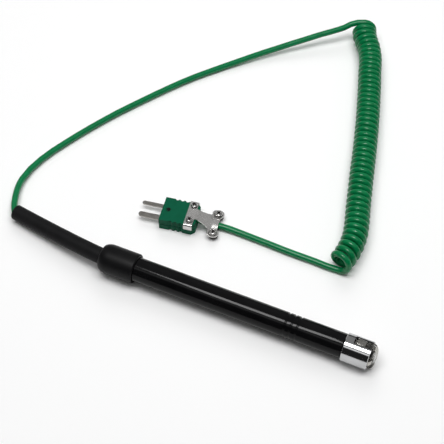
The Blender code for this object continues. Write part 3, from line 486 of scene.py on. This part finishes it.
def joined(first, *others):
    """Add the other shapes to the first."""
    for other in others:
        mesh = bpy.data.meshes.new("joining")
        other.to_mesh(mesh)
        other.free()
        first.from_mesh(mesh)
        bpy.data.meshes.remove(mesh)
    return first


def bow(leg, leg_end, shoulder, dome):
    """Half of a ribbon's line (r, z) in millimetres: straight leg, rounded shoulder, flat arch."""
    between = (leg + shoulder) / 2.0
    line = [(leg, -leg_end), (leg, -leg_end * 0.5), (between, -leg_end * 0.22), (shoulder, 0.0)]
    for angle in (18.0, 36.0, 54.0, 72.0, 90.0):
        turn = math.radians(angle)
        line.append((shoulder * math.cos(turn) ** 0.8 if angle < 90.0 else 0.0, dome * math.sin(turn) ** 0.9))
    return line


def make_ribbons(finish):
    """The measuring ribbon is slit into three bands. The cross ribbon under it is a stack of strips."""
    line = bow(5.35, 9.2, 6.95, 2.9)
    work = joined(*[ribbon_strip(line, 1.0, 0.18, 0.0, shift) for shift in (-1.35, 0.1, 1.55)])
    ribbon = on_object("measuring_ribbon", work, HEAD, finish, 40.0)
    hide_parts("sensing_ribbon")
    work = joined(ribbon_strip(bow(4.75, 6.0, 5.9, 1.85), 2.8, 0.18, 90.0),
                  ribbon_strip(bow(4.4, 5.4, 5.3, 1.35), 3.8, 0.16, 90.0),
                  ribbon_strip(bow(4.05, 4.8, 4.7, 0.85), 4.8, 0.16, 90.0))
    cross = on_object("cross_support_ribbon", work, HEAD, finish, 40.0)
    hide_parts("cross_ribbon")


def rounded_box(low, high, edge):
    """Box between two corners in millimetres, its edges rounded."""
    size = [(b - a) * MM for a, b in zip(low, high)]
    middle = [(a + b) / 2.0 * MM for a, b in zip(low, high)]
    work = bmesh.new()
    bmesh.ops.create_cube(work, size=1.0, matrix=Matrix.Translation(middle) @ Matrix.Diagonal((*size, 1.0)))
    bmesh.ops.bevel(work, geom=work.verts[:] + work.edges[:], offset=edge * MM, segments=3, profile=0.5,
                    affect="EDGES", material=-1)
    return work


def make_tabs(finish):
    """Small plates over the ribbon's legs, one in each window."""
    for name, side, node in (("tab_upper", -1.0, "ribbon_tab_upper"), ("tab_lower", 1.0, "ribbon_tab_lower")):
        near, far = sorted((side * 5.75, side * 6.5))
        plate = rounded_box((near, -1.7, -8.2), (far, 2.6, -3.7), 0.2)
        tab = on_object(name, plate, HEAD, finish, 40.0)
        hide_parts(node)


def make_handle(gloss):
    front = -14.3
    rear = -145.6
    outer = 6.6
    bore = 5.3
    edge = 0.4
    groove_half = 0.85
    profile = [(bore, front), (outer - edge, front)]
    profile += arc(outer - edge, front - edge, edge, edge, 90.0, 0.0, 4)[1:]
    for middle in (-38.9, -42.1, -45.3):
        profile += [(outer, middle + groove_half)]
        profile += arc(outer + 0.06, middle, 0.42, 0.62, 100.0, 260.0, 12)
        profile += [(outer, middle - groove_half)]
    profile += [(outer, rear + edge), (outer - edge, rear), (bore, rear)]
    work = spin_profile([(r * MM, z * MM) for r, z in profile], steps=192)
    tube = on_object("handle_barrel", work, PROBE, gloss, 40.0)
    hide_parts("handle_tube")


def make_collar(satin):
    front = -130.0
    wall = -148.1
    rear = wall - 2.3
    outer = 8.1
    lip = 0.9
    shoulder_in = 2.4
    shoulder_along = 5.2
    bore = 6.75
    boot_hole = 4.75
    profile = [(bore, front - 0.25), (bore + 0.25, front)]
    profile += arc(outer - lip, front - lip, lip, lip, 90.0, 0.0, 10)
    profile += [(outer, -140.0)]
    profile += arc(outer - shoulder_in, rear + shoulder_along, shoulder_in, shoulder_along, 0.0, -90.0, 20)
    profile += [(boot_hole, rear), (boot_hole, wall), (bore, wall)]
    work = spin_profile([(r * MM, z * MM) for r, z in profile], steps=160)
    cap = on_object("collar_cap", work, PROBE, satin, 40.0)
    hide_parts("rear_collar")


def make_boot(rubber):
    count = 36
    sides = 64
    stations = [(Vector((0.0, 0.0, -146.0 * MM)), BOOT_RADIUS)]
    for k in range(count + 1):
        share = k / count
        stations.append((boot_point(share), BOOT_RADIUS - BOOT_TAPER * share))
    rings = []
    bore = []
    for index, (point, radius) in enumerate(stations):
        before = stations[max(index - 1, 0)][0]
        after = stations[min(index + 1, len(stations) - 1)][0]
        turn = (after - before).to_track_quat("Z", "Y").to_matrix().to_4x4()
        matrix = Matrix.Translation(point) @ turn
        rings.append((matrix, radius * MM, sides))
        bore.append((matrix, BOOT_BORE * MM, sides))
    mouth = rings[-1][0]
    lip = 0.45
    end_radius = rings[-1][1] / MM
    rings = rings[:-1]
    for angle in (0.0, 30.0, 60.0, 90.0):
        back = lip * (math.sin(math.radians(angle)) - 1.0)
        radius = end_radius - lip + lip * math.cos(math.radians(angle))
        rings.append((mouth @ Matrix.Translation((0.0, 0.0, back * MM)), radius * MM, sides))
    bore[-1] = (mouth @ Matrix.Translation((0.0, 0.0, -0.2 * MM)), BOOT_BORE * MM, sides)
    rings.append((mouth, (BOOT_BORE + 0.2) * MM, sides))
    work = loft(rings + bore[::-1], True)
    boot = on_object("bend_boot_sleeve", work, PROBE, rubber, 50.0)
    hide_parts("bend_boot")


# Clamp on the plug

def strap_outline():
    """Half of the flat blank, (x, v) with v across: band with a tab, flared neck, round ear, bar's end."""
    side = [(BAND_FRONT, 11.5), (BAND_REAR, 11.5), (BAND_REAR, 4.0), (19.2, 3.35), (20.2, 3.2), (22.5, 3.45),
            (25.0, 4.0), (26.6, 4.7)]
    side += arc(30.0, 6.5, 3.3, 2.75, 200.0, -35.0, 28)
    side += [(31.9, 4.1), (31.8, 3.4), (31.8, 2.4)]
    return side


def strap_height(x, y):
    """Middle of the sheet: band level, slope of the neck, ears and a hump over the cable."""
    slope = STRAP_LEVEL - 4.7 * min(1.0, max(0.0, (x - 19.9) / 8.6))
    hump = 0.95 * eased(22.5, 28.4, x)
    across = min(1.0, abs(y) / 5.2)
    return slope + hump * math.cos(across * math.pi / 2.0) ** 2


def make_strap(finish):
    """The blank drawn flat and cut across both ways, its tabs bent down over the plug's sides and the rest
    pressed to strap_height, which stretches the neck."""
    side = strap_outline()
    outline = side + [(x, -v) for x, v in reversed(side)]
    work = bmesh.new()
    face = work.faces.new([work.verts.new((x * MM, v * MM, 0.0)) for x, v in outline])
    if face.normal.z < 0.0:
        face.normal_flip()
    for axis, low, high, step in ((0, 14.0, 33.4, 0.4), (1, -11.6, 11.6, 0.3)):
        for k in range(1, round((high - low) / step)):
            at = [0.0, 0.0, 0.0]
            normal = [0.0, 0.0, 0.0]
            at[axis] = (low + k * step + 0.013) * MM
            normal[axis] = 1.0
            bmesh.ops.bisect_plane(work, geom=work.verts[:] + work.edges[:] + work.faces[:], plane_co=at,
                                   plane_no=normal)
    bend = 0.9
    flat = STRAP_LEVEL - bend
    for vertex in work.verts:
        x = vertex.co.x / MM
        v = abs(vertex.co.y) / MM
        sign = math.copysign(1.0, vertex.co.y)
        y = v
        z = strap_height(x, v)
        if x < BAND_REAR + 0.5 and v > flat:
            angle = min((v - flat) / bend, math.pi / 2.0)
            rest = max(0.0, v - flat - bend * math.pi / 2.0)
            y = flat + bend * math.sin(angle)
            z = STRAP_LEVEL - bend * (1.0 - math.cos(angle)) - rest
        vertex.co = (x * MM, sign * y * MM, z * MM)
    bmesh.ops.recalc_face_normals(work, faces=work.faces)
    strap = on_object("clamp_strap", work, PLUG, finish, 60.0)
    sheet = strap.modifiers.new("sheet", "SOLIDIFY")
    sheet.thickness = 0.6 * MM
    sheet.offset = 0.0
    sheet.use_even_offset = True
    edge = strap.modifiers.new("edge", "BEVEL")
    edge.width = 0.12 * MM
    edge.segments = 2
    edge.limit_method = "ANGLE"
    edge.angle_limit = math.radians(60.0)
    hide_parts("clamp_plate")
    return strap


def make_key_hole(finish):
    """Painted shade: a dark cup in the blind hole in the plug's top, for the shade on its bottom and wall."""
    radius = 1.3
    top = 8.06
    profile = [(0.0, top - 0.25), (radius * 0.8, top - 0.25), (radius, top - 0.12), (radius, top),
               (radius - 0.12, top + 0.03), (radius - 0.25, top - 0.02)]
    profile += [(radius - 0.3, top - 0.1), (0.0, top - 0.12)]
    work = spin_profile([(r * MM, z * MM) for r, z in profile], closed=False, steps=48)
    place = PLUG @ Matrix.Translation((3.4 * MM, -0.2 * MM, 0.0))
    on_object("key_hole_painted_shade", work, place, finish, 40.0)


def make_screw(name, node, centre, seat, radius, height, turn, finish):
    """Pan-head screw: a turned head with a cross recess pressed into it, and its shank."""
    crown = [(0.0, height)] + [(radius * 0.04 * k, height - 0.12 * (k / 16.0) ** 2) for k in range(1, 17)]
    crown += arc(radius * 0.64, height * 0.45, radius * 0.36, height * 0.55 - 0.12, 75.0, 0.0, 8)
    shank, reach_down = 0.9, -2.6
    crown += [(radius, 0.25), (radius - 0.2, 0.0), (shank, 0.0), (shank, reach_down), (0.0, reach_down)]
    work = spin_profile([(r * MM, z * MM) for r, z in crown], closed=False, steps=96)
    reach = radius * 0.68
    # Painted shade: a vertex value, highest in the cross recess and on the head's lower side and shank, that
    # darkens the colour there
    painted_shade = work.verts.layers.float.new("painted_shade")
    for vertex in work.verts:
        vertex[painted_shade] = 1.0 - eased(0.35, 0.75, vertex.co.z / (height * MM))
        if vertex.co.z < height * 0.6 * MM:
            continue
        spot = Matrix.Rotation(math.radians(turn), 3, "Z") @ vertex.co / MM
        along, off = max(abs(spot.x), abs(spot.y)), min(abs(spot.x), abs(spot.y))
        depth = eased(reach, reach * 0.6, along) * (1.0 - eased(0.2, 0.36, off))
        vertex[painted_shade] = max(vertex[painted_shade], depth)
        vertex.co.z -= 0.75 * height * depth * MM
    bmesh.ops.recalc_face_normals(work, faces=work.faces)
    place = PLUG @ Matrix.Translation((centre[0] * MM, centre[1] * MM, seat * MM))
    screw = on_object(name, work, place, finish, 50.0)
    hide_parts(node)


# Cable

def helix(route, turns):
    """Left-handed winding along a route: starts on top, ends at the bottom. Its pitch grows towards the
    plug's end, where it opens."""
    line = smooth_route([Vector(p) * MM for p in route], 0.0004)
    count = round(turns * TURN_POINTS)
    shares = []
    total = 0.0
    for k in range(count + 1):
        shares.append(total)
        u = k / count
        # A step's share: longer along the coil, more so over its last tenth, and a little uneven
        total += 0.955 + 0.09 * u + 0.22 * max(0.0, u - 0.9) / 0.1 + 0.03 * math.sin(29.0 * u)
    points = []
    for k in range(count + 1):
        along = shares[k] / shares[-1] * (len(line) - 1)
        index = min(int(along), len(line) - 2)
        centre = line[index].lerp(line[index + 1], along - index)
        ahead = (line[min(index + 8, len(line) - 1)] - line[max(index - 8, 0)]).normalized()
        side = ahead.cross(Vector((0.0, 0.0, 1.0))).normalized()
        theta = math.radians(90.0) + math.tau * k / TURN_POINTS
        radius = HELIX_R + 0.45 * MM * (1.0 - eased(1.0, 4.5, k / TURN_POINTS))
        points.append(centre + radius * (math.cos(theta) * side + math.sin(theta) * Vector((0.0, 0.0, 1.0))))
    return points


def make_cable(jacket):
    inside = [PROBE @ boot_point(share) for share in (0.8, 0.87, 0.94, 1.0)]
    mouth = inside[-1]
    straight_out = 1.1 * MM
    beyond = mouth + (mouth - inside[-2]).normalized() * straight_out
    coil = helix(COIL_ROUTE, COIL_TURNS)
    fine = smooth_route([beyond] + [Vector(p) * MM for p in UPPER_ROUTE] + [coil[0]], 0.0015)
    # Closer points where the cable bends, at the boot and over the coil's end
    upper = fine[:16:2] + fine[16:-19:6] + fine[-19::3]
    end = [PLUG @ (Vector(p) * MM) for p in CLAMP_ROUTE]
    lower = smooth_route([coil[-1]] + [Vector(p) * MM for p in LOWER_ROUTE] + end, 0.0025)
    points = inside + upper[:-1] + coil + lower[1:]
    curve = bpy.data.curves.new("curly_cable", "CURVE")
    curve.dimensions = "3D"
    curve.bevel_depth = CABLE_R
    curve.bevel_resolution = 6
    curve.use_fill_caps = True
    spline = curve.splines.new("POLY")
    spline.points.add(len(points) - 1)
    for point, place in zip(spline.points, points):
        point.co = (*place, 1.0)
    spline.use_smooth = True
    cable = bpy.data.objects.new("curly_cable", curve)
    bpy.context.scene.collection.objects.link(cable)
    curve.materials.append(jacket)
    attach(cable, "root")
    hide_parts("cord_upper", "cord_coil", "cord_lower")
    return cable, mouth


# Camera, floor and light

def make_camera():
    data = bpy.data.cameras.new("camera")
    data.lens = LENS
    data.sensor_width = 36.0
    data.clip_start = 0.01
    data.clip_end = 20.0
    camera = bpy.data.objects.new("camera", data)
    bpy.context.scene.collection.objects.link(camera)
    forward = (HEADING * math.cos(DOWN) - Vector((0.0, 0.0, math.sin(DOWN)))).normalized()
    right = forward.cross(Vector((0.0, 0.0, 1.0))).normalized()
    up = right.cross(forward)
    turn = Matrix((right, up, -forward)).transposed().to_4x4()
    camera.matrix_world = Matrix.Translation(EYE) @ turn
    bpy.context.scene.camera = camera


def make_floor():
    work = bmesh.new()
    bmesh.ops.create_grid(work, x_segments=2, y_segments=2, size=4.0)
    mesh = bpy.data.meshes.new("floor")
    work.to_mesh(mesh)
    work.free()
    floor = bpy.data.objects.new("floor", mesh)
    bpy.context.scene.collection.objects.link(floor)
    paper = Finish("floor_paper", roughness=0.9, Specular_IOR_Level=0.1)
    mesh.materials.append(paper.set(Base_Color=(0.965, 0.965, 0.965)))


def make_world():
    """Dark sides with a bright band high up for the metal; the camera sees a pale backdrop."""
    world = bpy.data.worlds.new("studio")
    world.use_nodes = True
    bpy.context.scene.world = world
    tree = world.node_tree
    back = tree.nodes["Background"]
    place = tree.nodes.new("ShaderNodeTexCoord")
    split = tree.nodes.new("ShaderNodeSeparateXYZ")
    tree.links.new(place.outputs["Generated"], split.inputs[0])
    height = tree.nodes.new("ShaderNodeValToRGB")
    stops = ((0.0, 0.06), (0.16, 0.02), (0.78, 0.02), (0.82, 1.2), (0.87, 1.2), (0.90, 0.36))
    while len(height.color_ramp.elements) < len(stops):
        height.color_ramp.elements.new(0.5)
    for element, (position, level) in zip(height.color_ramp.elements, stops):
        element.position = position
        element.color = (level, level, level, 1.0)
    tree.links.new(split.outputs["Z"], height.inputs["Fac"])
    side = tree.nodes.new("ShaderNodeMapRange")
    side.inputs["From Min"].default_value = -0.15
    side.inputs["From Max"].default_value = 0.15
    tree.links.new(split.outputs["Y"], side.inputs["Value"])
    mix = tree.nodes.new("ShaderNodeMix")
    mix.data_type = "RGBA"
    tree.links.new(side.outputs["Result"], mix.inputs["Factor"])
    tree.links.new(height.outputs["Color"], mix.inputs[MIX_FIRST])
    far = tree.nodes.new("ShaderNodeMapRange")
    for key, value in (("From Min", 0.2), ("From Max", 0.4), ("To Min", 0.06), ("To Max", 0.30)):
        far.inputs[key].default_value = value
    tree.links.new(split.outputs["Z"], far.inputs["Value"])
    tree.links.new(far.outputs["Result"], mix.inputs[MIX_SECOND])
    light = tree.nodes.new("ShaderNodeLightPath")
    seen = tree.nodes.new("ShaderNodeMix")
    seen.data_type = "RGBA"
    tree.links.new(light.outputs["Is Camera Ray"], seen.inputs["Factor"])
    tree.links.new(mix.outputs[MIX_RESULT], seen.inputs[MIX_FIRST])
    seen.inputs[MIX_SECOND].default_value = (0.95, 0.95, 0.95, 1.0)
    tree.links.new(seen.outputs[MIX_RESULT], back.inputs["Color"])
    back.inputs["Strength"].default_value = 1.0


def softbox(name, place, size_x, size_y, radiance):
    """Level box light, turned square to the camera."""
    data = bpy.data.lights.new(name, "AREA")
    data.shape = "RECTANGLE"
    data.size = size_x
    data.size_y = size_y
    data.energy = radiance * math.pi * size_x * size_y
    light = bpy.data.objects.new(name, data)
    light.location = place
    light.rotation_euler = (0.0, 0.0, math.atan2(-HEADING.x, HEADING.y))
    bpy.context.scene.collection.objects.link(light)
    return light


def finish_nodes(finish, *nodes):
    """Give the part's own solids a finish."""
    for node in nodes:
        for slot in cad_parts[node].material_slots:
            slot.material = finish


make_camera()
make_floor()
make_world()
glint = softbox("glint_box", (-0.035, -0.14, 1.0), 0.45, 0.28, 13.5)
glint.visible_diffuse = False
key = softbox("key_box", (0.0, 0.04, 1.0), 1.0, 0.45, 5.45)
key.visible_glossy = False
FILL_PLACE = Vector((-0.30, 0.85, 0.80))
fill = softbox("far_fill", FILL_PLACE, 0.7, 0.6, 2.2)
fill.rotation_euler = FILL_PLACE.to_track_quat("Z", "Y").to_euler()
fill.visible_glossy = False

CHROME = mirror_chrome()
STRIP = rolled_strip()
NICKEL = nickel_sheet()
SCREW = screw_nickel()
BLADE = blade_alloy()
BRASS = brass_finish()
JACKET = cable_jacket()
PLUG_GREEN = plug_plastic()
CORE = core_plastic()
SATIN = satin_black()

CABLE, MOUTH = make_cable(JACKET)
make_ferrule(CHROME)
make_ribbons(STRIP)
make_handle(gloss_black())
make_collar(SATIN)
make_boot(boot_rubber())

make_strap(NICKEL)
make_tabs(STRIP)
make_key_hole(SATIN)
# Name, node that it replaces, place on the plug, seat, head's radius and height, turn of its cross
SCREWS = (("screw_over_far", "cover_screw_far", (16.6, 5.5), 8.72, 1.9, 1.5, 20.0),
          ("screw_over_near", "cover_screw_near", (16.6, -4.7), 8.72, 1.9, 1.5, 55.0),
          ("screw_clamp_far", "clamp_screw_far", (30.2, 6.4), 4.02, 2.1, 1.6, 35.0),
          ("screw_clamp_near", "clamp_screw_near", (30.2, -6.4), 4.02, 2.1, 1.6, 5.0))
for name, node, centre, seat, radius, height, turn in SCREWS:
    make_screw(name, node, centre, seat, radius, height, turn, SCREW)

# head_bush is brass in the part; its dark core finish is painted shade, so it shows no glint in the ferrule's
# gap
finish_nodes(CORE, "head_core", "cable_anchor", "head_bush")
# The saddle's dark steel is painted shade
finish_nodes(shadowed_steel(), "clamp_saddle")
finish_nodes(BLADE, "blade_positive", "blade_negative", "head_lead_positive", "head_lead_negative",
             "plug_lead_positive", "plug_lead_negative")
finish_nodes(PLUG_GREEN, "plug_base", "plug_cover")
finish_nodes(BRASS, "crimp_positive", "crimp_negative", "terminal_screw_positive", "terminal_screw_negative")
finish_nodes(lead_sleeve(), "lead_positive", "lead_negative")
finish_nodes(JACKET, "inner_cable")

bpy.context.scene.view_settings.view_transform = "Standard"
